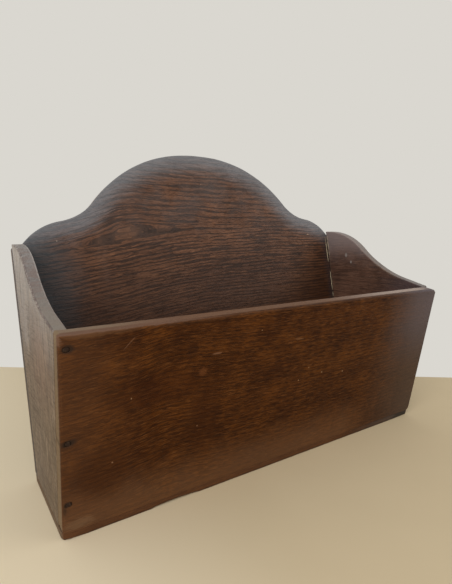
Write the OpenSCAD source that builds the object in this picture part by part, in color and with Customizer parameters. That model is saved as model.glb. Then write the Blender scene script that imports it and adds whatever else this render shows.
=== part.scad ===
// Oak letter box with an arched back board and swept side boards.
// +X is the viewer's right, +Y runs from the front to the back, +Z is up.
// The origin is the centre of the underside. All sizes are in millimetres.

/* [Box] */
// Width over the two side boards
box_w = 330; // [270:1:400]
// Depth of the underside, from the front face to the back face
base_d = 79; // [70:1:105]
// Height of the front board's outer top edge
front_h = 130.5; // [115:0.5:140]
// Lean of the front board towards the viewer, in degrees
front_lean = 9.5; // [5:0.5:14]
// Lean of the back board away from the viewer, in degrees
back_lean = 12.5; // [5:0.5:18]

/* [Boards] */
// Thickness of each side board
side_t = 8; // [6:0.5:12]
// Thickness of the front board
front_t = 10; // [7:0.5:14]
// Thickness of the back board
back_t = 7; // [5.5:0.5:11]
// Thickness of the bottom board
bottom_t = 5; // [4:0.5:8]
// Radius on the front board's outer top edge
front_round = 2; // [0.5:0.25:4]
// Radius on the front board's inner top edge
rear_round = 1; // [0.5:0.25:2]
// Radius on the bottom board's four corners, seen from above
bottom_corner_r = 2.5; // [1:0.5:5]

/* [Arch of the back board] */
// Length of the back board from the table to its highest point
arch_len = 253.5; // [235:0.5:290]
// Radius of the flatter crown in the middle of the arch
crown_r = 180; // [120:1:300]
// Half of the angle that the crown takes, in degrees
crown_half_angle = 6; // [2:0.5:10]
// Radius of the hollow neck on each side of the arch
neck_r = 47; // [20:1:65]
// Slope where the neck turns over into the shoulder, in degrees
shoulder_slope = 9.5; // [4:0.5:20]
// Radius of the rounded shoulder
shoulder_r = 47; // [25:1:60]
// Slope of the shoulder where it meets the board's level end, in degrees
shoulder_end = 55; // [40:1:75]
// How far the shoulder's curve runs in behind the side board
shoulder_lap = 2; // [0.5:0.5:5]
// Length of the back board from the table to its level end behind each side board
ear_len = 173.5; // [160:0.5:185]

/* [Side boards] */
// Height of the left side board's hump
left_hump_h = 173; // [165:0.5:185]
// Height of the right side board's hump
right_hump_h = 176; // [165:0.5:185]
// Length of the hump's level top, from the back board forwards
hump_flat = 6.5; // [2:0.5:12]
// Radius of the rounded hump
hump_r = 68; // [45:1:72]
// Length of the straight rail behind the front board
rail_len = 23; // [5:1:30]

/* [Nails] */
// Length of the nails that fix the front and back boards
wall_nail_len = 28; // [18:1:34]
// Length of the nails that come up through the bottom board
bottom_nail_len = 18; // [12:1:20]
// Width of a nail's shank under its head
shank_w = 2.4; // [1.6:0.1:3]
// Width of a nail's blunt point
point_w = 1; // [0.6:0.1:1.4]
// Thickness of a nail's shank
shank_t = 1.6; // [1:0.1:2]
// Long side of a nail's head
head_w = 3.8; // [3.2:0.1:5]
// Short side of a nail's head
head_d = 3; // [2.4:0.1:4]
// Thickness of a nail's head
head_t = 1; // [0.6:0.1:1.5]
// Depth of a nail's head below the wood's surface
nail_set = 0.4; // [0.1:0.1:1]
// Gap between a nail and the wood round it
nail_gap = 0.05; // [0:0.01:0.1]
// Distance of the front board's top nails below its top edge
front_nail_top = 6.5; // [5:0.5:15]
// Distance of its middle nails from the table, measured along the board
front_nail_mid = 68; // [50:1:85]
// Distance of its lowest nails from the table, measured along the board
front_nail_low = 26; // [25:1:40]
// Distance of the back board's lowest nails from the table, measured along the board
back_nail_low = 27; // [26:1:40]
// Distance of the back board's highest nails below its level end
back_nail_top = 14; // [8:1:25]
// Number of nails down each end of the back board
back_nail_count = 4; // [2:1:6]
// Number of nails under the front board, and again under the back board
long_nail_count = 4; // [2:1:8]
// Distance of the outermost of those nails from the ends of the box
long_nail_inset = 40; // [25:1:60]
// Distance of the nails under a side board from the underside's front and back edges
short_nail_inset = 20; // [15:1:25]

/* [Hidden] */
$fn = 128;

oak_red = [0.36, 0.20, 0.13];
oak_brown = [0.30, 0.19, 0.14];
oak_grey = [0.40, 0.31, 0.26];
iron = [0.16, 0.16, 0.18];

// Longer than any board, for cuts that run right through
reach = 2 * (box_w + arch_len);

left = -1;
right = 1;
side_in_x = box_w / 2 - side_t;
edge_nail_x = box_w / 2 - side_t / 2;
front_len = front_h / cos(front_lean);
rail_start_z = front_h + front_t * sin(front_lean);

// Where the level at height z meets the outer faces of the front and back boards
function front_out(z) = -base_d / 2 - z * tan(front_lean);
function back_out(z) = base_d / 2 + z * tan(back_lean);

// Where it meets their inner faces
function front_in(z) = front_out(z) + front_t / cos(front_lean);
function back_in(z) = back_out(z) - back_t / cos(back_lean);

// Numbers spread evenly from a first one to a last one
function spread(first, last, count) =
    [for (i = [0 : count - 1]) first + (last - first) * i / (count - 1)];

// A step of length 1, turned clockwise from straight up by an angle in degrees
function from_up(angle) = [sin(angle), cos(angle)];

// The angle of a step, clockwise from straight up
function angle_from_up(step) = atan2(step[0], step[1]);

// The radius of the arc that leaves point p with its centre along a unit step inwards from p
// and touches the outside of another circle
function touching_radius(p, inwards, other_c, other_r) =
    ((p - other_c) * (p - other_c) - other_r * other_r)
        / (2 * (other_r - (p - other_c) * inwards));

// The right half of the arch: crown, arch, neck and shoulder, each arc tangent to the next
crown_c = [0, arch_len - crown_r];
crown_end = crown_c + crown_r * from_up(crown_half_angle);
shoulder_tip = [side_in_x + shoulder_lap, ear_len];
shoulder_c = shoulder_tip - shoulder_r * from_up(shoulder_end);
shoulder_top = shoulder_c + shoulder_r * from_up(shoulder_slope);
neck_c = shoulder_top + neck_r * from_up(shoulder_slope);
arch_r = touching_radius(crown_end, -from_up(crown_half_angle), neck_c, neck_r);
arch_c = crown_end - arch_r * from_up(crown_half_angle);
arch_angle = angle_from_up(neck_c - arch_c);
arch_end = arch_c + arch_r * from_up(arch_angle);

// The slice of a disc between two angles, clockwise from straight up
module disc_slice(centre, r, from_angle, to_angle) {
    translate(centre) intersection() {
        circle(r);
        polygon([
            [0, 0],
            2 * r * from_up(from_angle),
            2 * r * from_up((from_angle + to_angle) / 2),
            2 * r * from_up(to_angle)
        ]);
    }
}

// What rounding takes off a square corner that stands at [r, r]
module corner_waste(r) {
    difference() {
        square(r + 1);
        circle(r);
    }
}

// Lays a shape drawn in depth and height into the box, with a width along x
module across(width, centre_x = 0) {
    translate([centre_x - width / 2, 0, 0])
        rotate([90, 0, 90]) linear_extrude(width) children();
}

// Stands a thing on the front board: the board's outer face at y = 0, its length along z
module on_front_board() {
    translate([0, -base_d / 2, 0]) rotate([front_lean, 0, 0]) children();
}

// Stands a thing on the back board in the same way
module on_back_board() {
    translate([0, base_d / 2, 0]) rotate([-back_lean, 0, 0]) children();
}

// Everything below the bottom board's top face, where the walls stop
module below_walls() {
    translate([-reach / 2, -reach / 2, bottom_t - reach]) cube(reach);
}

module half_arch_outline() {
    difference() {
        union() {
            polygon([
                [0, 0], [box_w / 2, 0], [box_w / 2, ear_len], shoulder_tip,
                shoulder_top, arch_end, crown_end, [0, arch_len]
            ]);
            disc_slice(crown_c, crown_r, 0, crown_half_angle);
            disc_slice(arch_c, arch_r, crown_half_angle, arch_angle);
            disc_slice(shoulder_c, shoulder_r, shoulder_slope, shoulder_end);
        }
        translate(neck_c) circle(neck_r);
    }
}

module back_board() {
    color(oak_red) difference() {
        on_back_board() rotate([90, 0, 0]) linear_extrude(back_t) {
            half_arch_outline();
            mirror([1, 0]) half_arch_outline();
        }
        below_walls();
        back_nail_row(left, nail_gap);
        back_nail_row(right, nail_gap);
        bottom_back_nail_row(nail_gap);
    }
}

// In depth and height, everything from the back board's inner face backwards
module past_back_board() {
    polygon([[back_in(0), 0], [back_in(reach), reach], [back_in(reach), 0]]);
}

// A side board in depth and height: hump, hollow sweep and straight rail, each tangent to the next
module side_outline(hump_h) {
    hump_c = [back_in(hump_h) - hump_flat, hump_h - hump_r];
    rail_start = [front_in(rail_start_z), rail_start_z];
    rail_end = rail_start + rail_len * [cos(front_lean), sin(front_lean)];
    rail_up = [-sin(front_lean), cos(front_lean)];
    sweep_r = touching_radius(rail_end, rail_up, hump_c, hump_r);
    sweep_c = rail_end + sweep_r * rail_up;
    hump_angle = angle_from_up(sweep_c - hump_c);
    difference() {
        union() {
            polygon([
                [front_in(bottom_t), bottom_t], [back_out(bottom_t), bottom_t],
                [back_out(hump_h), hump_h], [hump_c[0], hump_h],
                hump_c + hump_r * from_up(hump_angle), rail_end, rail_start
            ]);
            disc_slice(hump_c, hump_r, hump_angle, 0);
        }
        translate(sweep_c) circle(sweep_r);
        past_back_board();
    }
}

module side_board(side, hump_h) {
    difference() {
        across(side_t, side * edge_nail_x) side_outline(hump_h);
        front_nail_row(side, nail_gap);
        back_nail_row(side, nail_gap);
        bottom_side_nail_row(side, nail_gap);
    }
}

module left_side() {
    color(oak_grey) side_board(left, left_hump_h);
}

module right_side() {
    color(oak_grey) side_board(right, right_hump_h);
}

// The front board in thickness and length, with its two long top edges rounded
module front_section() {
    difference() {
        square([front_t, front_len]);
        translate([front_round, front_len - front_round])
            mirror([1, 0]) corner_waste(front_round);
        translate([front_t - rear_round, front_len - rear_round])
            corner_waste(rear_round);
    }
}

module front_board() {
    color(oak_brown) difference() {
        on_front_board() across(box_w) front_section();
        below_walls();
        front_nail_row(left, nail_gap);
        front_nail_row(right, nail_gap);
        bottom_front_nail_row(nail_gap);
    }
}

// What rounding takes off the bottom board's two right-hand corners, seen from above
module right_corner_waste() {
    translate([box_w / 2 - bottom_corner_r, back_out(bottom_t) - bottom_corner_r])
        corner_waste(bottom_corner_r);
    translate([box_w / 2 - bottom_corner_r, front_out(bottom_t) + bottom_corner_r])
        mirror([0, 1]) corner_waste(bottom_corner_r);
}

// The bottom board lies under all four walls, its long edges planed flush with their faces
module bottom_board() {
    color(oak_red) difference() {
        across(box_w) polygon([
            [front_out(0), 0], [back_out(0), 0],
            [back_out(bottom_t), bottom_t], [front_out(bottom_t), bottom_t]
        ]);
        translate([0, 0, -bottom_t]) linear_extrude(3 * bottom_t) {
            right_corner_waste();
            mirror([1, 0]) right_corner_waste();
        }
        bottom_front_nail_row(nail_gap);
        bottom_back_nail_row(nail_gap);
        bottom_side_nail_row(left, nail_gap);
        bottom_side_nail_row(right, nail_gap);
    }
}

// A cut nail that points down from the wood's surface at z = 0, tapered in its width.
// With a gap it is the nail's hole, open to the surface above the head.
module cut_nail(len, gap = 0) {
    shank_top = -nail_set - head_t / 2;
    head_space = head_t + (gap > 0 ? nail_set + 1 : 0);
    translate([-head_w / 2 - gap, -head_d / 2 - gap, -nail_set - head_t])
        cube([head_w + 2 * gap, head_d + 2 * gap, head_space]);
    translate([0, shank_t / 2 + gap, 0]) rotate([90, 0, 0])
        linear_extrude(shank_t + 2 * gap)
            polygon([
                [-shank_w / 2 - gap, shank_top], [shank_w / 2 + gap, shank_top],
                [point_w / 2 + gap, -len - gap], [-point_w / 2 - gap, -len - gap]
            ]);
}

// Nails through the front board into the end of a side board, or their holes
module front_nail_row(side, gap = 0) {
    on_front_board()
        for (z = [front_nail_low, front_nail_mid, front_len - front_nail_top])
            translate([side * edge_nail_x, 0, z])
                rotate([90, 0, 0]) cut_nail(wall_nail_len, gap);
}

// Nails through the back board into the end of a side board, or their holes
module back_nail_row(side, gap = 0) {
    on_back_board()
        for (z = spread(back_nail_low, ear_len - back_nail_top, back_nail_count))
            translate([side * edge_nail_x, 0, z])
                rotate([-90, 0, 0]) cut_nail(wall_nail_len, gap);
}

// Nails up through the bottom board into a long wall, or their holes. They start at depth y, midway
// through the wall, and lean forward with it by an angle.
module bottom_long_nail_row(y, lean, gap) {
    end_x = box_w / 2 - long_nail_inset;
    for (x = spread(-end_x, end_x, long_nail_count))
        translate([x, y, 0]) rotate([180 + lean, 0, 0]) cut_nail(bottom_nail_len, gap);
}

module bottom_front_nail_row(gap = 0) {
    bottom_long_nail_row((front_out(0) + front_in(0)) / 2, front_lean, gap);
}

module bottom_back_nail_row(gap = 0) {
    bottom_long_nail_row((back_out(0) + back_in(0)) / 2, -back_lean, gap);
}

// Nails up through the bottom board into a side board, or their holes
module bottom_side_nail_row(side, gap = 0) {
    end_y = base_d / 2 - short_nail_inset;
    for (y = [-end_y, end_y])
        translate([side * edge_nail_x, y, 0])
            rotate([180, 0, 90]) cut_nail(bottom_nail_len, gap);
}

module front_left_nails() {
    color(iron) front_nail_row(left);
}

module front_right_nails() {
    color(iron) front_nail_row(right);
}

module back_left_nails() {
    color(iron) back_nail_row(left);
}

module back_right_nails() {
    color(iron) back_nail_row(right);
}

module bottom_front_nails() {
    color(iron) bottom_front_nail_row();
}

module bottom_back_nails() {
    color(iron) bottom_back_nail_row();
}

module bottom_left_nails() {
    color(iron) bottom_side_nail_row(left);
}

module bottom_right_nails() {
    color(iron) bottom_side_nail_row(right);
}

back_board();
left_side();
right_side();
front_board();
bottom_board();
front_left_nails();
front_right_nails();
back_left_nails();
back_right_nails();
bottom_front_nails();
bottom_back_nails();
bottom_left_nails();
bottom_right_nails();
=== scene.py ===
import math
import bmesh
import bpy
import numpy as np
from mathutils import Matrix, Vector, geometry, noise


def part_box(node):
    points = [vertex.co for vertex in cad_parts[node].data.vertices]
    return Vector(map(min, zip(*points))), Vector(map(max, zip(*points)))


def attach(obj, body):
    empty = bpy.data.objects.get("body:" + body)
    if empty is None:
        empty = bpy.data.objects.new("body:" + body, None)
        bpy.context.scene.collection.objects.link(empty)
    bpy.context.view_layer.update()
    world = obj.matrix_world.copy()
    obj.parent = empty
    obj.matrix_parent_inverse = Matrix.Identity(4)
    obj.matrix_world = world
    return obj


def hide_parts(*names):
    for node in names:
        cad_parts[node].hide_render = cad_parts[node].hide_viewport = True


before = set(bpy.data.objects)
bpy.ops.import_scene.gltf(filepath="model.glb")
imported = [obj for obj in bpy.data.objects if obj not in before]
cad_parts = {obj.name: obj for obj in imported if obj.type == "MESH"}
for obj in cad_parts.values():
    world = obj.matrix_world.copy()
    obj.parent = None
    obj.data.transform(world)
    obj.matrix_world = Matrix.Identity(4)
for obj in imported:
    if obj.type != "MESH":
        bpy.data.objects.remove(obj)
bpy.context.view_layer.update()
scene = bpy.context.scene
norm = np.linalg.norm
print("frame loaded:", len(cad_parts), "pieces")

# Everything below is worked out in millimetres and made in metres.
metre = 0.001


def added(name, data):
    made = bpy.data.objects.new(name, data)
    scene.collection.objects.link(made)
    return made


def boxOf(node):
    low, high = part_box(node)
    return low / metre, high / metre


# What the boards share: their leans, and the sizes read off the frame
lean = dict(front=math.radians(9.5), back=math.radians(12.5))
frontSin, frontCos, frontTan = math.sin(lean["front"]), math.cos(lean["front"]), math.tan(lean["front"])
backSin, backCos, backTan = math.sin(lean["back"]), math.cos(lean["back"]), math.tan(lean["back"])
bottomLow, bottomHigh = boxOf("bottom_board")
frontHigh = boxOf("front_board")[1]
backLow, backHigh = boxOf("back_board")
leftLow, leftHigh = boxOf("left_side")
halfWidth = bottomHigh.x
bottomThick = bottomHigh.z
sideThick = leftHigh.x - leftLow.x
baseFront = bottomLow.y + bottomThick * frontTan  # outer face of the front board at the table
baseBack = bottomHigh.y - bottomThick * backTan
frontThick = (frontHigh.y - bottomLow.y) * frontCos
backThick = (bottomHigh.y - backLow.y) * backCos
sideMid = halfWidth - sideThick / 2


def frontInside(z):
    return baseFront - z * frontTan + frontThick / frontCos


def backInside(z):
    return baseBack + z * backTan - backThick / backCos


# Plane geometry of the outlines: angles are clockwise from straight up

def fromUp(angle):
    return np.array([math.sin(angle), math.cos(angle)])


def touchingRadius(point, inwards, otherCentre, otherRadius):
    step = point - otherCentre
    return (step @ step - otherRadius ** 2) / (2 * (otherRadius - step @ inwards))


def arc(centre, radius, start, end, step=2.0):
    count = max(2, int(abs(end - start) * radius / step))
    return [centre + radius * fromUp(a) for a in np.linspace(start, end, count + 1)]


def dense(points, step=2.0):
    # the same closed run with its points no further apart than a step
    out = []
    for here, after in zip(points, points[1:] + points[:1]):
        count = max(1, int(np.ceil(norm(after - here) / step)))
        out += [here + (after - here) * i / count for i in range(count)]
    return out


def cornersOf(points, sharpest=math.radians(20)):
    # the points where a closed run turns sharply
    found = []
    for before, here, after in zip(points[-1:] + points[:-1], points, points[1:] + points[:1]):
        a, b = here - before, after - here
        turn = math.atan2(a[0] * b[1] - a[1] * b[0], a @ b)
        if abs(turn) > sharpest:
            found.append(here)
    return found


def softened(points, corners, reaches, slack=1.02, curvePoints=7):
    # the same run with each sharp corner bent round a curve that reaches so far along each side
    points = np.array(points)
    for corner, reach in zip(corners, reaches):
        away = norm(points - corner, axis=1)
        keep = away > reach * slack
        at = int(np.argmin(away))
        before = after = at
        while not keep[before]:
            before = (before - 1) % len(points)
        while not keep[after]:
            after = (after + 1) % len(points)
        start, end = (corner + (p - corner) * reach / norm(p - corner)
                      for p in (points[before], points[after]))
        curve = [start * (1 - t) ** 2 + corner * 2 * t * (1 - t) + end * t * t
                 for t in np.linspace(0, 1, curvePoints)]
        if before < after:
            points = np.vstack([points[:before + 1], curve, points[after:]])
        else:
            points = np.vstack([points[after:before + 1], curve])
    return points


def wobble(points, wave, offset=0.0):
    # smooth noise between -1 and 1 at each point
    return np.array([noise.noise(Vector((p[0], p[1], offset)) / wave) for p in points])


def uneven(points, slow=0.35, quick=0.2, longWave=14, shortWave=4, offset=0.0):
    # how many times deeper or shallower than usual an arris is worn at each point
    return 1 + slow * wobble(points, longWave, offset) + quick * wobble(points, shortWave, offset)


def oblong(low, high):
    # the corners of a plain board as wide as the box
    return [np.array([x, z]) for x, z in
            ((-halfWidth, low), (halfWidth, low), (halfWidth, high), (-halfWidth, high))]


def nearEnd(distance, reach=20):
    # 1 at a board's end, falling to 0 over the reach
    return max(0, 1 - distance / reach)


def within(loop, point):
    # whether a closed loop of points goes round a point
    a, b = loop, np.roll(loop, -1, 0)
    spans = (a[:, 1] > point[1]) != (b[:, 1] > point[1])
    cross = a[:, 0] + (point[1] - a[:, 1]) / np.where(spans, b[:, 1] - a[:, 1], 1) * (b[:, 0] - a[:, 0])
    return int(np.sum(spans & (cross > point[0]))) % 2 == 1


def roundedSquare(count, power=3.0):
    # the points of a square with rounded corners: the way from its middle, and how far out
    for i in range(count):
        a = 2 * math.pi * (i + 0.5) / count
        c, s = math.cos(a), math.sin(a)
        yield c, s, (abs(c) ** power + abs(s) ** power) ** (-1 / power)


def tube(loops):
    # the faces between each loop of point numbers and the next
    return [face for a, b in zip(loops, loops[1:]) for face in zip(a, a[1:] + a[:1], b[1:] + b[:1], b)]


boardMesh = dict(
    grid=7.0, rows=3, turns=5,  # grid on a face, rows through the edge, steps round an arris
    cornerRoom=0.42, roomGrowth=0.35, mostWear=0.8,  # how round an arris may be near a corner
    hold=0.45,  # a narrow flat row beside each worn arris
    # the points inside a face: how far in from the outline, and from each other
    besideRows=(1.4, 4.0), gridClear=5.5, wearShare=0.6, slack=0.93, closest=1.1,
    # each row of a pit's torn rim: how much wider than the pit, and how deep
    pitRim=((0.45, 0.0), (0.3, 0.05), (0.15, 0.15), (0.04, 0.3)),
    pitPoints=16, pitWider=1.02, torn=0.6, tearWave=1.5, farFromEdge=9.0,
)


class Board:
    # A board drawn in its own plane: x along the grain, z across it, y through its thickness.
    # Its near face is at y = 0 and its far face at y = thick.
    def __init__(self, outline, thick, corners, reaches, nearWear, farWear):
        self.outline, self.thick, self.corners = outline, thick, np.array(corners)
        step = np.roll(outline, -1, 0) - np.roll(outline, 1, 0)
        self.inwards = np.stack([-step[:, 1], step[:, 0]], 1) / norm(step, axis=1)[:, None]
        # an arris can't be rounder than the corner that it runs round
        m = boardMesh
        rooms = []
        for corner, reach in zip(corners, reaches):
            past = np.maximum(norm(outline - corner, axis=1) - reach, 0)
            rooms.append(m["cornerRoom"] * reach + m["roomGrowth"] * past)
        self.room = np.min(rooms, axis=0)
        self.wear = {"near": np.minimum(nearWear, self.room * m["mostWear"]),
                     "far": np.minimum(farWear, self.room * m["mostWear"])}
        self.verts, self.faces, self.edge = [], [], []

    def ring(self, inset, depth, edge):
        first = len(self.verts)
        flat = self.outline + self.inwards * np.broadcast_to(inset, len(self.outline))[:, None]
        depth = np.broadcast_to(depth, len(flat))
        self.verts += [(p[0], d, p[1]) for p, d in zip(flat, depth)]
        self.edge += list(np.broadcast_to(edge, len(flat)))
        return list(range(first, len(self.verts)))

    def insidePoints(self, clear):
        # points spread over the face: two rows that follow the outline, then a grid
        m = boardMesh
        low, high = self.outline.min(0), self.outline.max(0)
        wanted = []
        for inset in m["besideRows"]:
            wanted += [(p + n * (inset + clear), inset) for p, n in
                       zip(self.outline[::2], self.inwards[::2])]
        wanted += [(np.array([x, z]), m["gridClear"]) for x in np.arange(low[0], high[0], m["grid"])
                   for z in np.arange(low[1], high[1], m["grid"])]
        kept = []
        for point, need in wanted:
            gap = norm(self.outline - point, axis=1).min()
            if gap >= (need + clear) * m["slack"] and within(self.outline, point):
                if not kept or norm(np.array(kept) - point, axis=1).min() > m["closest"]:
                    kept.append(point)
        return kept

    def cap(self, loop, inside, holes, depth, roundPit=0.8, nearest=1e-5):
        index = list(loop)
        edges = [(i, (i + 1) % len(loop)) for i in range(len(loop))]
        for hole in holes:
            start = len(index)
            index += hole
            edges += [(start + i, start + (i + 1) % len(hole)) for i in range(len(hole))]
        flat = [Vector((self.verts[i][0], self.verts[i][2])) for i in index]
        rims = [np.array([flat[index.index(h)] for h in hole]) for hole in holes]
        for point in inside:
            if any((point > r.min(0) - roundPit).all() and (point < r.max(0) + roundPit).all()
                   for r in rims):
                continue
            index.append(len(self.verts))
            self.verts.append((point[0], depth, point[1]))
            self.edge.append(float(norm(self.outline - point, axis=1).min()))
            flat.append(Vector(point))
        result = geometry.delaunay_2d_cdt(flat, edges, [], 1, nearest)
        names = [index[o[0]] for o in result[3]]
        for tri in result[2]:
            middle = sum((result[0][i] for i in tri), Vector((0, 0))) / 3
            if not any(within(r, middle) for r in rims):
                self.faces.append(tuple(names[i] for i in tri))

    def pit(self, face, centre, size):
        # a small sunk hole with a soft rim: its loop on the face comes back for the face to join
        m, depth = boardMesh, nailShape["pitDepth"]
        side = -1 if face == "near" else 1
        at = 0.0 if face == "near" else self.thick
        loops = []
        for grow, down in m["pitRim"] + ((0.0, depth * 0.6), (0.0, depth)):
            loop = []
            for c, s, out in roundedSquare(m["pitPoints"]):
                tear = abs(noise.noise(Vector((c, s, centre[0] + centre[1])) * m["tearWave"]))
                torn = grow * (1 - m["torn"] * tear)
                out *= m["pitWider"]
                loop.append(len(self.verts))
                self.verts.append((centre[0] + c * out * (size[0] / 2 + torn), at - side * down,
                                   centre[1] + s * out * (size[1] / 2 + torn)))
            loops.append(loop)
        self.faces += tube(loops)
        middle = len(self.verts)
        self.verts.append((centre[0], at - side * depth, centre[1]))
        self.edge += [m["farFromEdge"]] * (len(self.verts) - len(self.edge))
        last = loops[-1]
        self.faces += [(here, after, middle) for here, after in zip(last, last[1:] + last[:1])]
        return loops[0]

    def build(self, pits=()):
        thick, rows, turns = self.thick, boardMesh["rows"], boardMesh["turns"]
        near, far = self.wear["near"], self.wear["far"]
        hold = {key: np.minimum(wear + boardMesh["hold"], self.room) for key, wear in self.wear.items()}
        loops = [self.ring(hold["near"], 0.0, 0.5)]
        for i in range(turns, -1, -1):
            a = math.pi / 2 * i / turns
            loops.append(self.ring(near * (1 - math.cos(a)), near * (1 - math.sin(a)), 0.0))
        for i in range(1, rows):
            depth = near + (thick - near - far) * i / rows
            loops.append(self.ring(0.0, depth, min(i, rows - i) * thick / rows))
        for i in range(turns + 1):
            a = math.pi / 2 * i / turns
            loops.append(self.ring(far * (1 - math.cos(a)), thick - far * (1 - math.sin(a)), 0.0))
        loops.append(self.ring(hold["far"], thick, 0.5))
        self.faces += tube(loops)
        inside = self.insidePoints(max(near.max(), far.max()) * boardMesh["wearShare"])
        for face, loop, depth in (("near", loops[0], 0.0), ("far", loops[-1], thick)):
            holes = [self.pit(*p) for p in pits if p[0] == face]
            self.cap(loop, inside, holes, depth)
        # the short arrises at the outline's corners count as edges too
        points = np.array(self.verts)
        for corner in self.corners:
            away = np.hypot(points[:, 0] - corner[0], points[:, 2] - corner[1])
            self.edge = np.minimum(self.edge, np.maximum(away - 0.6, 0))


def meshPiece(name, verts, faces, material, matrix, edge=(), waves=(), seed=0.0):
    # verts are millimetres in the piece's own frame; waves move them gently inwards
    bm = bmesh.new()
    layer = bm.verts.layers.float.new("edgeMm")
    made = [bm.verts.new(v) for v in verts]
    for v, away in zip(made, edge):
        v[layer] = away
    for f in faces:
        bm.faces.new([made[i] for i in f])
    bmesh.ops.delete(bm, geom=[v for v in bm.verts if not v.link_faces], context="VERTS")
    bmesh.ops.recalc_face_normals(bm, faces=bm.faces)
    bm.normal_update()
    for v in bm.verts:
        shift = sum(depth * (0.5 + 0.5 * noise.noise(v.co / wave + Vector((seed, seed, seed))))
                    for wave, depth in waves)
        v.co -= v.normal * shift
    bmesh.ops.scale(bm, vec=(metre, metre, metre), verts=bm.verts)
    mesh = bpy.data.meshes.new(name)
    bm.to_mesh(mesh)
    bm.free()
    mesh.shade_smooth()
    piece = added(name, mesh)
    piece.matrix_world = matrix
    mesh.materials.append(material)
    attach(piece, "root")
    return piece


# Where each board's own frame stands in the box: x along the grain, y through it, z across it

def placed(origin, x, y):
    basis = Matrix([x, y, Vector(x).cross(Vector(y))]).transposed().to_4x4()
    return Matrix.Translation(Vector(origin) * metre) @ basis


frontFrame = placed((0, baseFront, 0), (1, 0, 0), (0, frontCos, frontSin))
backFrame = placed((0, baseBack, 0), (1, 0, 0), (0, backCos, -backSin))
leftFrame = placed((-halfWidth + sideThick, 0, 0), (0, 1, 0), (-1, 0, 0))
rightFrame = placed((halfWidth, 0, 0), (0, 1, 0), (-1, 0, 0))
bottomFrame = placed((0, 0, bottomThick), (1, 0, 0), (0, 0, -1))


# Materials: a socket that adds up like a number, and a finish that makes the nodes

def joins(operation, turned=False):
    # a method that joins a signal and another value in one math node
    def act(self, other=0.0):
        pair = (other, self) if turned else (self, other)
        return self.finish.node("Math", {"operation": operation}, dict(enumerate(pair)))
    return act


class Signal:
    def __init__(self, finish, socket):
        self.finish, self.socket = finish, socket

    __add__, __radd__ = joins("ADD"), joins("ADD", True)
    __sub__, __rsub__ = joins("SUBTRACT"), joins("SUBTRACT", True)
    __mul__, __rmul__ = joins("MULTIPLY"), joins("MULTIPLY", True)
    __truediv__, __pow__ = joins("DIVIDE"), joins("POWER")
    most, least = joins("MAXIMUM"), joins("MINIMUM")
    fraction = joins("FRACT")

    def clamped(self):
        return self.finish.node("Math", {"operation": "ADD", "use_clamp": True}, {0: self, 1: 0.0})

    def rises(self, low, high):
        # 0 below low, 1 above high, smooth between; low may be the greater
        fall = float(low > high)
        values = {"Value": self, "From Min": min(low, high), "From Max": max(low, high),
                  "To Min": fall, "To Max": 1.0 - fall}
        return self.finish.node("MapRange", {"interpolation_type": "SMOOTHSTEP"}, values)


class Finish:
    # makes the nodes of a new material, or of the world that it is given
    def __init__(self, name, world=None):
        self.owner = world or bpy.data.materials.new(name)
        self.owner.use_nodes = True
        self.tree = self.owner.node_tree
        self.tree.nodes.clear()
        self.count = 0

    def node(self, kind, settings=None, inputs=None, output=0):
        made = self.tree.nodes.new("ShaderNode" + kind)
        made.location = (self.count % 12 * 180, -(self.count // 12) * 260)
        self.count += 1
        for key, value in (settings or {}).items():
            setattr(made, key, value)
        for key, value in (inputs or {}).items():
            if isinstance(value, Signal):
                self.tree.links.new(value.socket, made.inputs[key])
            else:
                made.inputs[key].default_value = value
        return None if output is None else Signal(self, made.outputs[output])

    def vector(self, operation, a, b):
        return self.node("VectorMath", {"operation": operation}, {0: a, 1: b})

    def scaled(self, a, factors):
        return self.vector("MULTIPLY", a, factors)

    def spot(self):
        # where the shaded point is in the piece's own frame, in millimetres
        return self.scaled(self.node("TexCoord", output="Object"), (1 / metre,) * 3)

    def grainNoise(self, place, size, detail=2.0, rough=0.5):
        # noise whose blots have the given length along each axis, in millimetres
        at = self.scaled(place, tuple(1 / s for s in size))
        return self.node("TexNoise", {"noise_dimensions": "3D"},
                         {"Vector": at, "Scale": 1.0, "Detail": detail, "Roughness": rough})

    def split(self, vector):
        return [self.node("SeparateXYZ", None, {0: vector}, i) for i in range(3)]

    def mix(self, factor, a, b):
        settings = {"data_type": "RGBA", "blend_type": "MIX", "clamp_factor": True}
        return self.node("Mix", settings, {0: factor, 6: a, 7: b}, 2)

    def finished(self, **sockets):
        shader = self.node("BsdfPrincipled", None, sockets)
        self.node("OutputMaterial", None, {"Surface": shader}, None)
        return self.owner


def paint(red, green, blue):
    # a screen colour, 0 to 255, as the shader's linear one
    linear = []
    for c in (red, green, blue):
        c /= 255
        linear.append(c / 12.92 if c <= 0.04045 else ((c + 0.055) / 1.055) ** 2.4)
    return (*linear, 1.0)


def straightFlow(at, look):
    # how high a grain line runs at each point, in millimetres: level lines, a little askew
    return at.z - at.x * look["slope"] + at.y * look["tilt"]


def eyeFlow(at, look):
    # grain lines that climb to the right, part round an eye and close up again beyond it
    eye = look["eye"]
    lower = at.x.rises(eye["climbTo"], eye["climbFrom"]) * eye["climb"]
    along = (at.x - eye["x"]).most(0) / eye["right"] + (eye["x"] - at.x).most(0) / eye["left"]
    near = (1 + along * along) ** -1 * eye["push"]
    up = at.z + lower - near - eye["line"]
    side = up / ((up * up + eye["soft"] ** 2) ** 0.5)
    return up - near * side + at.y * look["tilt"]


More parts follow.
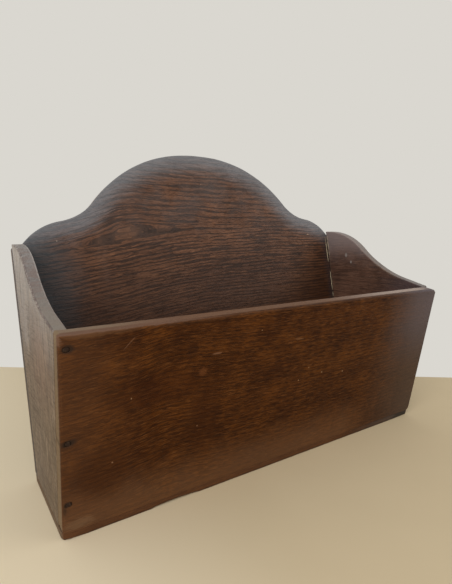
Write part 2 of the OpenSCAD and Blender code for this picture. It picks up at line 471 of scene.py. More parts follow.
class Place:
    # what a mask may be worked out from, at each point of a board, in millimetres
    def __init__(self, finish, look):
        f = self.finish = finish
        spot, shift = f.spot(), look.get("shift", (0, 0, 0))
        self.x, self.y, self.z = f.split(spot)
        self.edge = f.node("Attribute", {"attribute_name": "edgeMm"}, output=2)
        through = self.y / look["thick"]
        self.rim = through.rises(0.05, 0.18) * through.rises(0.95, 0.82)  # 1 on the narrow edges
        moved = self.moved = f.vector("ADD", spot, shift)
        self.cloud = f.grainNoise(moved, look["cloudSize"], 2.0, 0.55)
        self.mist = f.grainNoise(moved, (26, 26, 26), 3.0, 0.6)
        slow = f.grainNoise(moved, look["swayLength"], 1.0)
        quick = f.grainNoise(moved, look["waveLength"], 2.0)
        self.flow = look["flow"](self, look) + (slow - 0.5) * look["sway"] + (quick - 0.5) * look["wave"]
        x, y, z = f.split(moved)
        self.along = f.node("CombineXYZ", None, {0: x, 1: y, 2: self.flow + shift[2]})
        self.streak = f.grainNoise(self.along, look["streakSize"], 3.0, 0.6)
        self.fine = f.grainNoise(self.along, look["fineSize"], 3.0, 0.6)

    def misty(self, along, spread):
        # a distance that wanders by half the spread either way
        return along + (self.mist - 0.5) * spread

    def blots(self, size):
        return self.finish.grainNoise(self.moved, size, 3.0, 0.65)

    def patch(self, centre, size, ragged, low, high, slant=0.0):
        # 1 inside a ragged oval on the board's face, 0 outside it
        f = self.finish
        u = (self.x - centre[0]) / size[0]
        v = (self.z - centre[1] - (self.x - centre[0]) * slant) / size[1]
        away = (u * u + v * v) ** 0.5
        return (away + (self.streak - 0.5) * ragged).rises(high, low)


def oak(name, look):
    # Stained oak: ragged dark pore bands that follow the grain lines, short fine dashes along
    # them, cloudy stain, a grey bloom that is partly handling wear and partly a painted sheen,
    # worn edges, and the look's veils, among them painted highlights and painted shade.
    f = Finish(name)
    at = Place(f, look)
    dashes = f.grainNoise(at.along, look["dashSize"], 2.0, 0.6).rises(0.5, 0.66)
    pores = f.grainNoise(at.along, look["poreSize"], 1.0).rises(0.56, 0.66)

    rings = at.flow.most(0) / look["ring"] + at.flow.least(0) / look["ringBelow"]
    uneven = f.node("TexNoise", {"noise_dimensions": "1D"},
                    {"W": rings / 2.3, "Scale": 1.0, "Detail": 1.0})
    phase = (rings + uneven * 1.6).fraction()
    band = phase.rises(0.7, 0.25) * phase.rises(0.0, 0.15)
    level = (at.streak - 0.5) + (band - 0.4) * look["bandPull"] + (at.mist - 0.5) * look["patchy"]
    dark = level.rises(0.0, look["crisp"])
    dashes = dashes * (0.5 + band * 0.5)

    colour = f.mix(at.cloud.rises(0.3, 0.7), look["deep"], look["warm"])
    colour = f.mix(at.fine.rises(0.45, 0.75) * look["fineShare"], colour, look["pale"])
    colour = f.mix(dark * look["bandShare"], colour, look["band"])
    colour = f.mix(dashes * look["dashShare"], colour, look["band"])
    colour = f.mix(pores * look["poreShare"], colour, look["pore"])
    ragged = (at.streak - 0.5) * 3.0 + (at.mist - 0.5) * 5.0
    wornEdge = (at.edge + ragged).rises(look["wornWidth"], 0.0)
    if "wornWhere" in look:
        wornEdge = wornEdge * look["wornWhere"](at)
    colour = f.mix(wornEdge * look["wornShare"], colour, look["worn"])
    for where, share, tone in look["veils"] + look["marks"]:
        colour = f.mix((where(at) * share).clamped(), colour, tone)
    height = at.fine * 0.25 - dark * 0.3 - dashes * 0.35 - pores * 0.6
    rough = look["rough"] + (at.mist - 0.5) * 0.12 + pores * 0.15 + dark * 0.08 - wornEdge * 0.05
    bump = f.node("Bump", None,
                  {"Strength": look["relief"], "Distance": 0.0004, "Height": height})
    return f.finished(**{"Base Color": colour, "Roughness": rough.clamped(), "Normal": bump,
                         "Specular IOR Level": look["gloss"], "Coat Weight": look["wax"],
                         "Coat Roughness": 0.32})


def veil(tone, share, where):
    # a thin colour over the part of a board that the mask picks out; some veils are painted sheen, painted
    # highlights or painted shade
    return where, share, paint(*tone)


def nailMark(x, z, size, slant=0.0):
    # the blue-black stain that an iron nail leaves in oak
    return veil((48, 35, 27), 0.92, lambda at: at.patch((x, z), size, 0.5, 0.5, 1.4, slant))


def speck(x, z, size, tone, share=0.8, slant=0.0, ragged=1.0):
    return veil(tone, share, lambda at: at.patch((x, z), size, ragged, 0.6, 1.2, slant))


# The nails' sizes, which the pits in the boards are made for

nailShape = dict(
    headWidth=3.8, headDepth=3.0, headThick=1.0, sunk=0.4, pitDepth=1.4,
    shankWidth=2.4, shankThick=1.6, pointWidth=1.0, wallLength=28.0, bottomLength=18.0,
    gap=0.04, loopPoints=12, bent=0.05,
)
headAcross = (nailShape["headWidth"], nailShape["headDepth"])


# Back board

backLook = dict(
    flow=eyeFlow, tilt=0.5, thick=-backThick,
    eye=dict(x=-75, line=184, left=36, right=42, push=7.0, soft=5.0,
            climbFrom=-150, climbTo=10, climb=16.0),
    swayLength=(110, 60, 40), sway=6.0, waveLength=(20, 20, 6), wave=2.6,
    ring=4.4, ringBelow=3.0, bandPull=0.2, patchy=0.3, crisp=0.06,
    streakSize=(19, 1.6, 1.05), dashSize=(8, 0.8, 0.6), poreSize=(4, 0.35, 0.3),
    cloudSize=(50, 30, 20), fineSize=(12, 0.9, 0.8),
    deep=paint(84, 50, 29), warm=paint(108, 68, 42), pale=paint(142, 94, 61),
    fineShare=0.7, band=paint(33, 20, 13), bandShare=0.76, dashShare=0.4,
    pore=paint(26, 18, 15), poreShare=0.35,
    worn=paint(104, 88, 76), wornShare=0.4, wornWidth=1.6, rough=0.46, relief=0.6,
    gloss=0.25, wax=0.08,
    veils=[
        # painted shade: the back board darker low down inside the box
        veil((50, 24, 5), 0.6, lambda at: at.z.rises(175, 105)),
        veil((120, 86, 66), 0.28, lambda at:
             at.misty(at.x, 12).rises(-107, -99)
             * at.x.rises(-90, -98) * at.z.rises(115, 140) * at.z.rises(196, 184)
             * at.mist.rises(0.35, 0.65)),
        # painted sheen: a grey cast over the top of the back board
        veil((112, 100, 96), 0.35, lambda at: at.z.rises(150, 225) * at.mist.rises(0.3, 0.7)),
        # painted sheen along the arch's edge, where the face is worn round: partly wear, partly a painted
        # reflection
        veil((128, 129, 132), 0.8, lambda at:
             (at.misty(at.edge, 14) + (at.streak - 0.5) * 16).rises(22, 0)
             * at.z.rises(155, 185) * (1 - at.rim)),
        # painted reflection: a bluish glare on the left of the back board's inner face
        veil((58, 66, 70), 0.85, lambda at:
             at.misty(at.x, 30).rises(-105, -158) * at.z.rises(190, 165)
             * at.y.rises(-backThick * 0.6, -backThick * 0.85)),
        # painted shade on the back board beside the right side board's inner face
        veil((56, 50, 52), 0.45, lambda at:
             at.misty(at.x, 8).rises(147, 155) * at.z.rises(180, 160)),
    ],
    marks=[
        speck(-73, 181.8, (14, 7), (110, 77, 56), 0.42, 0.25, ragged=1.8),
        speck(-42, 183.6, (25, 2.6), (44, 31, 24), 0.6, 0.02, ragged=2.6),
        speck(-46, 172.5, (9, 1.2), (42, 30, 24), 0.6, 0.2, ragged=2.0),
        speck(14, 166, (17, 1.3), (44, 31, 24), 0.6, 0.04, ragged=2.0),
        speck(63, 170, (6, 1.6), (44, 30, 24), 0.55, ragged=2.0),
        speck(56, 162, (10, 0.9), (44, 30, 24), 0.55, ragged=2.0),
        speck(-132.5, 177, (0.5, 0.5), (180, 160, 142)),
        speck(129.6, 176.3, (1.3, 0.5), (190, 154, 124)),
        speck(3, 226.5, (0.6, 0.5), (150, 120, 100), 0.7),
    ],
)

backShape = dict(
    crownRadius=180.0, crownHalfAngle=math.radians(6), neckRadius=47.0,
    shoulderSlope=math.radians(9.5), shoulderRadius=47.0, shoulderEnd=math.radians(55),
    shoulderLap=2.0, earLength=173.5, nailsFrom=27, nailsBelowEar=14,
    cornerWear=1.3, edgeWear=0.9, footWear=0.5, wornFrom=20, endShare=0.6,
    innerShare=0.9,
)
archLength = (backHigh.z - backThick * backSin) / backCos
backNails = np.linspace(backShape["nailsFrom"], backShape["earLength"] - backShape["nailsBelowEar"], 4)


def halfArch():
    s = backShape
    half = s["crownHalfAngle"]
    crown = np.array([0, archLength - s["crownRadius"]])
    crownEnd = crown + s["crownRadius"] * fromUp(half)
    tip = np.array([halfWidth - sideThick + s["shoulderLap"], s["earLength"]])
    shoulder = tip - s["shoulderRadius"] * fromUp(s["shoulderEnd"])
    neck = shoulder + (s["shoulderRadius"] + s["neckRadius"]) * fromUp(s["shoulderSlope"])
    archRadius = touchingRadius(crownEnd, -fromUp(half), neck, s["neckRadius"])
    arch = crownEnd - archRadius * fromUp(half)
    turn = math.atan2(*(neck - arch))
    points = arc(crown, s["crownRadius"], 0, half)
    points += arc(arch, archRadius, half, turn)[1:]
    points += arc(neck, s["neckRadius"], turn + math.pi, s["shoulderSlope"] + math.pi)[1:]
    points += arc(shoulder, s["shoulderRadius"], s["shoulderSlope"], s["shoulderEnd"])[1:]
    return points


def backBoard(material):
    foot = bottomThick / backCos
    half = [np.array([halfWidth, z]) for z in (foot, backShape["earLength"])] + halfArch()[::-1]
    points = half + [np.array([-x, z]) for x, z in half[-2::-1]]
    corners = cornersOf(points)
    reaches = [backShape["cornerWear"]] * len(corners)
    outline = softened(dense(points), corners, reaches)
    wear = backShape["edgeWear"] * uneven(outline)
    wear = np.where(outline[:, 1] > backShape["wornFrom"], wear, backShape["footWear"])
    wear = np.where(np.abs(outline[:, 0]) > halfWidth - 1, wear * backShape["endShare"], wear)
    board = Board(outline, backThick, corners, reaches, wear, wear * backShape["innerShare"])
    # near is the outer face here, so the board's y is turned over below
    board.build([("near", (x, z), headAcross) for x in (-sideMid, sideMid) for z in backNails])
    verts = [(x, -y, z - y * backTan * nearEnd(z - foot)) for x, y, z in board.verts]
    piece = meshPiece("backBoard", verts, board.faces, material, backFrame, board.edge,
                      waves=((55, 0.12), (9, 0.04)), seed=3.0)
    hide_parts("back_board")


backBoard(oak("backOak", backLook))
print("back board made")


# Side boards

sideLook = dict(
    flow=straightFlow, slope=-0.04, tilt=0.5, thick=sideThick,
    swayLength=(80, 60, 45), sway=6.0, waveLength=(24, 20, 8), wave=1.6,
    ring=3.6, ringBelow=3.6, bandPull=0.12, patchy=0.5, crisp=0.16,
    streakSize=(15, 1.3, 0.9), dashSize=(7, 0.8, 0.6), poreSize=(4, 0.35, 0.3),
    cloudSize=(22, 30, 34), fineSize=(9, 0.8, 0.6),
    # the left side's colours are greyer than the right side's: the wood's colour with a painted sheen in it
    deep=paint(84, 65, 49), warm=paint(108, 86, 69), pale=paint(144, 121, 103),
    fineShare=0.8, band=paint(62, 46, 37), bandShare=0.5, dashShare=0.5,
    pore=paint(50, 40, 35), poreShare=0.3,
    worn=paint(140, 118, 96), wornShare=0.5, wornWidth=1.8, rough=0.44, relief=0.4,
    wornWhere=lambda at: at.mist.rises(0.4, 0.6),
    gloss=0.3, wax=0.04,
    veils=[
        # painted sheen: the upper part of the left side lighter grey
        veil((196, 188, 182), 0.72, lambda at: at.misty(at.z, 50).rises(95, 175)),
        veil((140, 106, 90), 0.4, lambda at: at.patch((-12, 100), (30, 30), 1.6, 0.2, 1.5)),
        veil((172, 160, 154), 0.45, lambda at: at.patch((38, 118), (14, 18), 2.4, 0.2, 1.5)),
        veil((88, 64, 36), 0.65, lambda at:
             at.misty(at.x, 30).rises(20, -34) * at.z.rises(118, 60)),
        veil((182, 158, 134), 0.42, lambda at: at.blots((1.4, 1.4, 12)).rises(0.52, 0.64) * (1 - at.rim)),
        veil((64, 46, 33), 0.6, lambda at: at.blots((1.9, 1.9, 26)).rises(0.5, 0.36) * (1 - at.rim)),
        veil((96, 88, 82), 0.8, lambda at: at.rim * at.z.rises(100, 125) * (at.streak + 0.3)),
        veil((122, 96, 84), 0.4, lambda at:
             at.rim * at.z.rises(100, 125) * at.blots((3, 9, 2.4)).rises(0.47, 0.6)),
        veil((140, 128, 112), 0.6, lambda at: at.rim * at.z.rises(100, 125) * at.z.rises(152, 132)),
        veil((80, 58, 50), 0.6, lambda at:
             at.y.rises(sideThick - 1.5, sideThick - 1.0) * at.edge.rises(1.1, 0.5)
             * at.z.rises(110, 125) * at.streak.rises(0.3, 0.55)),
    ],
    marks=[
        speck(-30, 24, (0.7, 9), (60, 46, 38), 0.5, ragged=1.4),
        speck(40, 152, (1.6, 2.2), (182, 170, 160), 0.6),
        speck(33, 145, (1.3, 1.8), (182, 170, 160), 0.6),
    ],
)

sideShape = dict(
    humpFlat=6.5, humpRadius=68.0, railLength=23.0, railDrop=dict(left=0.0, right=2.8),
    dropLength=50.0, cornerWear=1.2, edgeWear=0.8,
)
topRound = 1.0  # on the front board's inner top edge
frontLength = ((frontHigh.z - topRound - (frontThick - topRound) * frontSin)
               / frontCos + topRound)


def sideOutline(humpHeight, railDrop):
    s = sideShape
    railZ = frontLength * frontCos + frontThick * frontSin
    hump = np.array([backInside(humpHeight) - s["humpFlat"], humpHeight - s["humpRadius"]])
    railStart = np.array([frontInside(railZ), railZ])
    ahead = np.array([frontCos, frontSin])
    up = np.array([-ahead[1], ahead[0]])
    railEnd = railStart + s["railLength"] * ahead
    sweepRadius = touchingRadius(railEnd, up, hump, s["humpRadius"])
    sweep = railEnd + sweepRadius * up
    turn = math.atan2(*(sweep - hump))
    railTurn = math.atan2(*(railEnd - sweep))
    points = [np.array([frontInside(bottomThick), bottomThick]),
              np.array([backInside(bottomThick), bottomThick]),
              np.array([backInside(humpHeight), humpHeight])]
    points += arc(hump, s["humpRadius"], 0, turn)
    sweepTurn = turn + math.pi
    sweepTurn -= 2 * math.pi * round((sweepTurn - railTurn) / (2 * math.pi))
    points += arc(sweep, sweepRadius, sweepTurn, railTurn)[1:]
    points.append(railStart)
    # the rail comes down a little towards the front board, by as much as that board's top edge does
    for p in points:
        if p[1] > railZ / 2:
            p -= np.array([0, railDrop * nearEnd(p[0] - railStart[0], s["dropLength"])])
    return points


def sideBoard(side, place, material, seed):
    node = side + "_side"
    points = sideOutline(boxOf(node)[1].z, sideShape["railDrop"][side])
    corners = cornersOf(points)
    reaches = [sideShape["cornerWear"]] * len(corners)
    outline = softened(dense(points), corners, reaches)
    wear = sideShape["edgeWear"] * uneven(outline, offset=seed)
    board = Board(outline, sideThick, corners, reaches, wear, wear)
    board.build()
    piece = meshPiece(side + "Side", board.verts, board.faces, material, place, board.edge,
                      waves=((55, 0.1), (9, 0.04)), seed=seed)
    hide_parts(node)


sideBoard("left", leftFrame, oak("leftSideOak", sideLook), seed=5.0)
rightLook = dict(
    sideLook, shift=(40, 7, 0), deep=paint(90, 61, 46), warm=paint(114, 80, 62),
    pale=paint(138, 104, 84), band=paint(50, 34, 28), wornShare=0.4,
    veils=[
        # painted light: the top of the right side's inner face lighter grey, where the light from the left
        # falls
        veil((162, 145, 140), 0.7, lambda at: at.misty(at.z, 20).rises(138, 172)),
        veil((78, 70, 74), 0.6, lambda at:
             at.misty(at.x, 20).rises(5, -40) * at.z.rises(150, 130)),
        veil((128, 118, 110), 0.7, lambda at: at.rim * at.z.rises(100, 125)),
        veil((70, 58, 54), 0.6, lambda at:
             at.y.rises(1.8, 1.0) * at.edge.rises(1.1, 0.5) * at.z.rises(100, 125)),
    ],
)
sideBoard("right", rightFrame, oak("rightSideOak", rightLook), seed=8.0)
print("side boards made")


# Front board

frontNails = [26.0, 68.0, frontLength - 6.5]


def topEdge(at, start, end):
    # the board's top edge, from so far behind its face
    band = (at.y + (at.streak - 0.5) * 1.5).rises(start, end) * at.y.rises(frontThick, frontThick - 0.6)
    return band * at.z.rises(frontLength - 6, frontLength - 3)


frontLook = dict(
    flow=eyeFlow, tilt=0.6, thick=frontThick,
    eye=dict(x=-97, line=14, left=28, right=42, push=4.0, soft=7.0,
            climbFrom=-150, climbTo=10, climb=2.0),
    swayLength=(110, 60, 40), sway=7.0, waveLength=(16, 20, 6), wave=2.2,
    ring=3.4, ringBelow=3.4, bandPull=0.1, patchy=0.3, crisp=0.06,
    streakSize=(7, 1.0, 0.65), dashSize=(5, 0.65, 0.5), poreSize=(3.5, 0.3, 0.28),
    cloudSize=(26, 30, 30), fineSize=(8, 0.7, 0.6),
    deep=paint(58, 26, 3), warm=paint(92, 50, 13), pale=paint(122, 76, 38),
    fineShare=0.7, band=paint(34, 15, 5), bandShare=0.58, dashShare=0.6,
    pore=paint(28, 14, 7), poreShare=0.3,
    worn=paint(120, 84, 54), wornShare=0.4, wornWidth=1.2, rough=0.5, relief=0.4,
    wornWhere=lambda at: at.z.rises(8, 16) * at.x.rises(-halfWidth + 0.6, -halfWidth + 1.6)
        * (1 - at.x.rises(-150, -110) * at.z.rises(116, 122) * 0.75),
    gloss=0.08, wax=0.02,
    veils=[
        veil((124, 88, 60), 0.45, lambda at:
             at.misty(at.z, 20).rises(44, 8) * at.x.rises(120, 60)),
        # painted reflection: the right end of the front board greyer
        veil((85, 69, 57), 0.8, lambda at: at.misty(at.x, 30).rises(80, 168)),
        # painted sheen: mauve-grey growing towards the top right of the front board
        veil((112, 104, 112), 0.5, lambda at:
             at.misty(at.x, 20).rises(95, 166) * at.z.rises(45, 118)),
        veil((98, 66, 44), 0.35, lambda at: at.misty(at.x, 30).rises(-110, -165)),
        # the top edge painted lighter: worn wood with a painted highlight; the cream band towards the right
        # end is a painted highlight
        veil((118, 88, 70), 0.8, lambda at: topEdge(at, 0.3, 1.0) * at.x.rises(-40, -110)),
        veil((136, 114, 92), 0.85, lambda at: topEdge(at, 4.0, 6.0) * at.x.rises(-90, -150)),
        veil((126, 94, 72), 0.75, lambda at:
             topEdge(at, 2.2, 3.6) * at.x.rises(-150, -60) * at.x.rises(150, 20)),
        veil((182, 160, 144), 0.85, lambda at:
             topEdge(at, 2.6, 4.4) * at.x.rises(20, 120) * at.x.rises(168, 145)),
        veil((134, 112, 84), 0.85, lambda at:
             (at.x * at.x).rises((halfWidth - 2.2) ** 2, (halfWidth - 1.3) ** 2)
             * (at.y - at.z * 0.024).rises(0.2, 0.9) * (at.streak * 0.4 + 0.7)),
    ],
    marks=[
        speck(-84, 113, (4, 4.5), (40, 17, 6), 0.6, ragged=1.8),
        speck(-142, 42, (18, 17), (52, 24, 6), 0.5, ragged=2.0),
        speck(-104, 90, (32, 12), (58, 26, 6), 0.45, ragged=2.2),
        speck(-72, 60, (12, 26), (56, 26, 6), 0.45, ragged=2.2),
        speck(-76, 96, (3.2, 3), (112, 66, 34), 0.5, ragged=2.4),
        speck(-66, 107, (4, 0.8), (130, 92, 66), 0.6),
        speck(5, 106, (5, 0.6), (128, 88, 56), 0.6, -0.1),
        speck(-126, 124, (3.5, 0.5), (120, 84, 60), 0.6, 1.0),
        # painted glints: tiny light specks on the front face
        speck(10, 71, (0.5, 0.6), (160, 124, 88)),
        speck(19, 80, (0.5, 0.5), (160, 124, 88)),
        speck(34, 73, (0.5, 0.6), (176, 144, 108)),
        speck(58, 69, (0.5, 0.6), (166, 134, 100)),
        speck(-31, 118, (0.5, 0.4), (160, 124, 88)),
        speck(-124, 88, (0.4, 0.6), (150, 118, 86)),
        speck(-77, 56, (0.5, 0.5), (150, 110, 80)),
        speck(-135, 47, (0.6, 0.5), (150, 110, 80)),
        nailMark(-sideMid + 1.0, frontNails[2] + 0.3, (3.5, 2.6)),
        nailMark(-sideMid + 0.4, frontNails[1] + 0.3, (4.6, 2.3), 0.12),
        nailMark(-sideMid - 0.6, frontNails[0] + 0.3, (2.6, 1.8)),
        speck(-halfWidth + 1.6, 22.5, (1.2, 4), (50, 36, 26), 0.5, ragged=1.6),
        speck(-halfWidth + 10, 10, (9, 4), (126, 98, 72), 0.4, ragged=2.2),
    ],
)


# How round its near arrises are worn. Rubbing has rounded the left end more and more towards the top.
frontWear = dict(
    leftEnd=0.6, rightEnd=0.25, top=(1.5, 1.4), topChanges=-100, bottom=0.15, inner=0.6,
    rubbed=2.6, rubbedFrom=35, rubbedTo=125, corners=(3.5, 4.5, 4.5, 1.2),
    topRises=(1.5, -3.2),  # the top edge isn't quite level: at its left and right ends
    topReach=(4, 16),
)


def rubbedBack(x, y, z):
    # how far the rubbed left end stands back from the board's flat face
    w = frontWear
    reach = w["rubbed"] * min(max((z - w["rubbedFrom"]) / (w["rubbedTo"] - w["rubbedFrom"]), 0), 1)
    inside = x + halfWidth
    if inside >= reach:
        return 0.0
    return (reach - math.sqrt(reach ** 2 - (reach - max(inside, 0)) ** 2)) * (1 - y / frontThick)


def frontBoard(material):
    w = frontWear
    foot = bottomThick / frontCos
    corners = oblong(foot, frontLength)
    outline = softened(dense(corners), corners, w["corners"])
    top = outline[:, 1] > frontLength - 3
    bottom = outline[:, 1] < foot + 1
    ragged = uneven(outline, 0.3, longWave=16, offset=2)
    ends = np.where(outline[:, 0] < 0, w["leftEnd"], w["rightEnd"])
    topNear = np.interp(outline[:, 0], (-halfWidth, w["topChanges"]), w["top"])
    near = np.where(top, topNear, np.where(bottom, w["bottom"], ends)) * ragged
    far = np.where(top, topRound, w["inner"]) * ragged
    board = Board(outline, frontThick, corners, w["corners"], near, far)
    board.build([("near", (-sideMid, z), headAcross) for z in frontNails])
    verts = []
    for x, y, z in board.verts:
        rise = np.interp(x, (-halfWidth, halfWidth), w["topRises"])
        reach = np.interp(x, (-halfWidth, halfWidth), w["topReach"])
        rise *= min(max((z - frontLength) / reach + 1, 0), 1)
        verts.append((x, y + rubbedBack(x, y, z), z + rise - y * frontTan * nearEnd(z - foot)))
    piece = meshPiece("frontBoard", verts, board.faces, material, frontFrame, board.edge,
                      waves=((60, 0.12), (9, 0.04)), seed=11.0)
    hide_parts("front_board")


frontBoard(oak("frontOak", frontLook))
print("front board made")


# Bottom board

bottomLook = dict(
    frontLook, flow=straightFlow, slope=0.01, shift=(30, 5, 90), thick=bottomThick,
    deep=paint(66, 34, 12), warm=paint(88, 52, 22), worn=paint(78, 56, 38), wornShare=0.3,
    wornWhere=lambda at: at.y.rises(bottomThick * 0.5, bottomThick * 0.8), bandShare=0.35, marks=[],
    veils=[
        veil((114, 78, 54), 0.5, lambda at: at.x.rises(110, 40) * (at.mist * 0.5 + 0.6)),
        # painted sheen: the right end greyer, as on the front board
        veil((84, 73, 66), 0.75, lambda at: at.misty(at.x, 30).rises(60, 150)),
        veil((54, 49, 43), 0.85, lambda at: at.misty(at.x, 14).rises(136, 150)),
        veil((118, 97, 76), 0.8, lambda at:
             at.x.rises(1.4 - halfWidth, 0.6 - halfWidth) * at.z.rises(-39, -36)),
        veil((84, 70, 58), 0.8, lambda at: at.x.rises(halfWidth - 1.4, halfWidth - 0.6)),
        # painted contact shadow: the bottom board's edge darker next to the floor
        veil((52, 36, 26), 0.6, lambda at:
             at.y.rises(bottomThick * 0.6, bottomThick * 0.95) * at.streak.rises(0.35, 0.6)),
    ],
)

bottomWear = dict(
    edge=0.7, topShare=0.2, corners=(5.5, 4.5, 2.5, 2.5), chip=(-107, -72), chipDepth=2.6,
    knockedFrom=145, knockedOver=20, rubbedFrom=151, rubbedOver=9, knockedDepth=1.4,
)

# the nails under it: short rows up into the side boards, long ones up into the front and the back
shortNails = (baseFront + 20, baseBack - 20)
longNails = dict(front=baseFront + frontThick / frontCos / 2, back=baseBack - backThick / backCos / 2)
longNailPlaces = np.linspace(-halfWidth + 40, halfWidth - 40, 4)


def bottomBoard(material):
    w = bottomWear
    corners = oblong(baseFront, baseBack)
    outline = softened(dense(corners), corners, w["corners"])
    wear = w["edge"] * uneven(outline, 0.3, 0.25, longWave=12, offset=6)
    # a chip out of the front arris, the lower right corner knocked round and the left one rubbed
    front, across = outline[:, 1] < baseFront + 1, outline[:, 0]
    start, end = w["chip"]
    chip = np.clip((across - start) * (end - across) / ((end - start) / 2) ** 2, 0, 1) ** 0.5
    knocked = np.clip((across - w["knockedFrom"]) / w["knockedOver"], 0, 1)
    knocked += np.clip((-across - w["rubbedFrom"]) / w["rubbedOver"], 0, 1)
    worn = wear + np.where(front, chip * w["chipDepth"], 0) + np.where(front, knocked * w["knockedDepth"], 0)
    board = Board(outline, bottomThick, corners, w["corners"], wear * w["topShare"], worn)
    pits = [("far", (x, y), headAcross) for x in longNailPlaces for y in longNails.values()]
    pits += [("far", (x, y), headAcross[::-1]) for x in (-sideMid, sideMid) for y in shortNails]
    board.build(pits)
    verts = []
    for x, down, y in board.verts:
        rise = bottomThick - down
        y -= rise * frontTan * nearEnd(y - baseFront)
        y += rise * backTan * nearEnd(baseBack - y)
        verts.append((x, down, y))
    piece = meshPiece("bottomBoard", verts, board.faces, material, bottomFrame, board.edge,
                      waves=((60, 0.06), (9, 0.03)), seed=14.0)
    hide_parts("bottom_board")


bottomBoard(oak("bottomOak", bottomLook))
print("bottom board made")


# Glue that was squeezed out of the joint in the right back corner

glueLook = dict(
    tone=paint(206, 186, 150), dirt=paint(104, 84, 66), lift=0.3, below=0.25, step=0.8, points=6,
    # each run: from and to height, width, and how far from the corner on the side board or, where
    # that is less than 0, on the back board
    runs=[(143, 170, 1.0, -1.6), (147, 171, 0.6, 1.3), (112, 133, 1.0, -0.5), (105, 110, 0.8, -0.4)],
)


def glueFinish():
    f = Finish("driedGlue")
    grime = f.grainNoise(f.spot(), (1.5, 1.5, 4.0), 3.0)
    colour = f.mix(grime.rises(0.45, 0.7), glueLook["tone"], glueLook["dirt"])
    bump = f.node("Bump", None, {"Strength": 0.4, "Distance": 0.0002, "Height": grime})
    return f.finished(**{"Base Color": colour, "Roughness": 0.4 + grime * 0.2, "Normal": bump})


def glueRuns(material):
    # low ridges, each closed underneath a little inside the wood
    verts, faces = [], []
    side = halfWidth - sideThick
    for number, (low, high, width, place) in enumerate(glueLook["runs"]):
        loops = []
        steps = int((high - low) / glueLook["step"])
        for i in range(steps + 1):
            first = len(verts)
            t = i / steps
            z = low + (high - low) * t
            sway = 0.25 * noise.noise(Vector((number * 9.0, z / 4, 0)))
            taper = math.sin(math.pi * (0.04 + 0.92 * t)) ** 0.5
            half = width / 2 * taper * (1 + 0.5 * noise.noise(Vector((z / 1.7, number * 5.0, 1))))
            if place > 0:
                middle = Vector((side, backInside(z) - place + sway, z))
                across, out = Vector((0, 1, 0)), Vector((-1, 0, 0))
            else:
                middle = Vector((side + place + sway, backInside(z), z))
                across, out = Vector((1, 0, 0)), Vector((0, -1, 0))
            for a in np.linspace(0, math.pi, glueLook["points"]):
                lift = glueLook["lift"] * taper * math.sin(a)
                verts.append(middle + out * lift + across * half * math.cos(a))
            verts.append(middle - out * glueLook["below"])
            loops.append(list(range(first, len(verts))))
        faces += tube(loops) + [tuple(loops[0]), tuple(loops[-1])]
    piece = meshPiece("driedGlue", verts, faces, material, Matrix.Identity(4))


glueRuns(glueFinish())
print("dried glue made")


# Nails

ironLook = dict(dark=paint(50, 38, 31), rusty=paint(64, 50, 40), blots=(1.2, 1.2, 1.2))


def ironFinish():
    f = Finish("oldIron")
    rust = f.grainNoise(f.spot(), ironLook["blots"], 4.0, 0.6)
    colour = f.mix(rust.rises(0.42, 0.62), ironLook["dark"], ironLook["rusty"])
    bump = f.node("Bump", None, {"Strength": 0.6, "Distance": 0.0003, "Height": rust})
    return f.finished(**{"Base Color": colour, "Roughness": 0.95 - rust * 0.2, "Normal": bump,
                         "Specular IOR Level": 0.06})


def nailLoops(length):
    # half width, half thickness and depth of each loop down a nail, from the middle of its head
    n = nailShape
    w, d = n["headWidth"] / 2 - n["gap"], n["headDepth"] / 2 - n["gap"]
    top, under = n["sunk"], n["sunk"] + n["headThick"]
    thin, point = n["shankThick"] / 2, n["pointWidth"] / 2
    return [(w * 0.45, d * 0.45, top - 0.1), (w * 0.9, d * 0.9, top - 0.06), (w, d, top + 0.06),
            (w, d, under), (n["shankWidth"] / 2, thin, under + 0.1),
            (point + 0.35, thin, length * 0.5), (point, thin * 0.95, length)]


def nailRow(board, row, tops, length, boardFrame, into, wide, material):
    # tops are where the nails enter, into the way that they go, wide the way of their wide side
    verts, faces = [], []
    into, wide = Vector(into), Vector(wide)
    thin = into.cross(wide)
    for number, top in enumerate(tops):
        loops = []
        for w, d, depth in nailLoops(length):
            first = len(verts)
            for c, s, out in roundedSquare(nailShape["loopPoints"]):
                bent = 1 + nailShape["bent"] * noise.noise(Vector((c, s, number * 3.1 + depth)))
                verts.append(Vector(top) + into * depth + (wide * c * w + thin * s * d) * out * bent)
            loops.append(list(range(first, len(verts))))
        faces += tube(loops) + [tuple(loops[0]), tuple(loops[-1])]
    piece = meshPiece(board + row.title() + "Nails", verts, faces, material, boardFrame)
    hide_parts(f"{board}_{row}_nails")


def allNails(material):
    wall, bottom = nailShape["wallLength"], nailShape["bottomLength"]
    across, inwards, outwards = (1, 0, 0), (0, 1, 0), (0, -1, 0)
    for row, x in (("left", -sideMid), ("right", sideMid)):
        tops = [(x, 0, z) for z in frontNails]
        nailRow("front", row, tops, wall, frontFrame, inwards, across, material)
        tops = [(x, 0, z) for z in backNails]
        nailRow("back", row, tops, wall, backFrame, outwards, across, material)
        tops = [(x, bottomThick, y) for y in shortNails]
        nailRow("bottom", row, tops, bottom, bottomFrame, outwards, (0, 0, 1), material)
    for row, sign in (("front", -1), ("back", 1)):
        # these lean with the wall that they go up into
        into = (0, -math.cos(lean[row]), sign * math.sin(lean[row]))
        tops = [(x, bottomThick, longNails[row]) for x in longNailPlaces]
        nailRow("bottom", row, tops, bottom, bottomFrame, into, across, material)


allNails(ironFinish())
print("nails made")


# Floor, light and camera

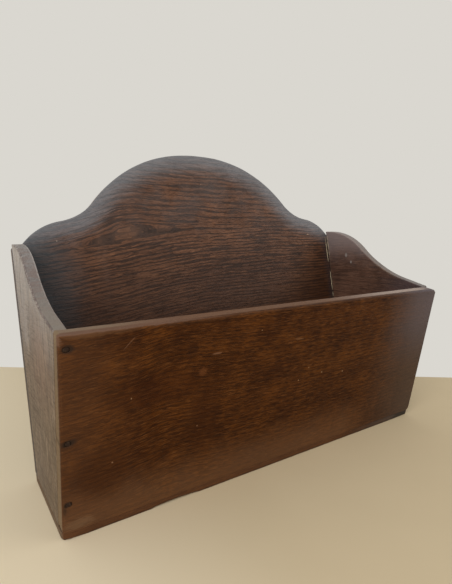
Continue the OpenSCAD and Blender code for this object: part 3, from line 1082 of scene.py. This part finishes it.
stage = dict(
    floor=paint(220, 198, 160), paintedFloorLight=paint(240, 221, 186), floorShade=(0.94, 0.94, 0.93),
    floorTurn=math.radians(-37.4), floorFar=0.178, floorHalf=1.6, floorDeep=2.2,
    backdrop=paint(218, 215, 208), sky=(0.93, 0.96, 1.0, 1.0), skyStrength=0.55, aim=(0, 0, 0.08),
    lamps=dict(
        keyLamp=dict(place=(-0.9, -0.75, 0.95), size=0.9, power=9.0, colour=(0.95, 0.97, 1.0)),
        fillLamp=dict(place=(0.9, -0.9, 0.6), size=0.9, power=3.0, colour=(1.0, 0.97, 0.93)),
    ),
)


def floorPiece():
    # a pale cloth that ends behind the box, along a line through the two far corners
    f = Finish("paleFloor")
    place = f.spot()
    tone = f.grainNoise(place, (60, 60, 60), 3.0)
    shade = tuple(c * share for c, share in zip(stage["floor"], stage["floorShade"])) + (1,)
    colour = f.mix(tone, stage["floor"], shade)
    # painted light: the floor lighter towards the left, where the light falls
    colour = f.mix(f.split(place)[0].rises(-40, -190), colour, stage["paintedFloorLight"])
    material = f.finished(**{"Base Color": colour, "Roughness": 0.9, "Specular IOR Level": 0.1})
    mesh = bpy.data.meshes.new("floor")
    angle = stage["floorTurn"]
    along = Vector((math.cos(angle), math.sin(angle), 0))
    across = Vector((-along.y, along.x, 0))
    far, half, deep = across * stage["floorFar"], along * stage["floorHalf"], across * stage["floorDeep"]
    corners = [far + half, far - half, far - half - deep, far + half - deep]
    mesh.from_pydata(corners, [], [(0, 1, 2, 3)])
    mesh.materials.append(material)
    floor = added("floor", mesh)


def worldLight():
    world = bpy.data.worlds.new("studio")
    scene.world = world
    f = Finish("studio", world)
    light = f.node("Background", None, {"Color": stage["sky"], "Strength": stage["skyStrength"]})
    seen = f.node("Background", None, {"Color": stage["backdrop"]})
    rays = [f.node("LightPath", output=ray + " Ray")
            for ray in ("Is Camera", "Is Glossy", "Is Transmission")]
    either = rays[0].most(rays[1]).most(rays[2])
    both = f.node("MixShader", None, {0: either, 1: light, 2: seen})
    f.node("OutputWorld", None, {"Surface": both}, None)


def softLamp(name, look):
    lamp = bpy.data.lights.new(name, "AREA")
    lamp.size = look["size"]
    lamp.energy = look["power"]
    lamp.color = look["colour"]
    holder = added(name, lamp)
    holder.location = look["place"]
    towards = Vector(stage["aim"]) - Vector(look["place"])
    holder.rotation_euler = towards.to_track_quat("-Z", "Y").to_euler()


floorPiece()
worldLight()
for lampName, lampLook in stage["lamps"].items():
    softLamp(lampName, lampLook)

cameraView = dict(
    place=(-0.2160, -0.2985, 0.1927), tilt=80.612, roll=0.134, turn=-33.024, lens=28.086,
    sensor=36.0, nearest=0.01,
)


def makeCamera():
    data = bpy.data.cameras.new("camera")
    data.lens = cameraView["lens"]
    data.sensor_width = cameraView["sensor"]
    data.clip_start = cameraView["nearest"]
    camera = added("camera", data)
    camera.location = cameraView["place"]
    camera.rotation_euler = [math.radians(cameraView[k]) for k in ("tilt", "roll", "turn")]
    scene.camera = camera


makeCamera()
scene.view_settings.view_transform = "Standard"
print("stage set")
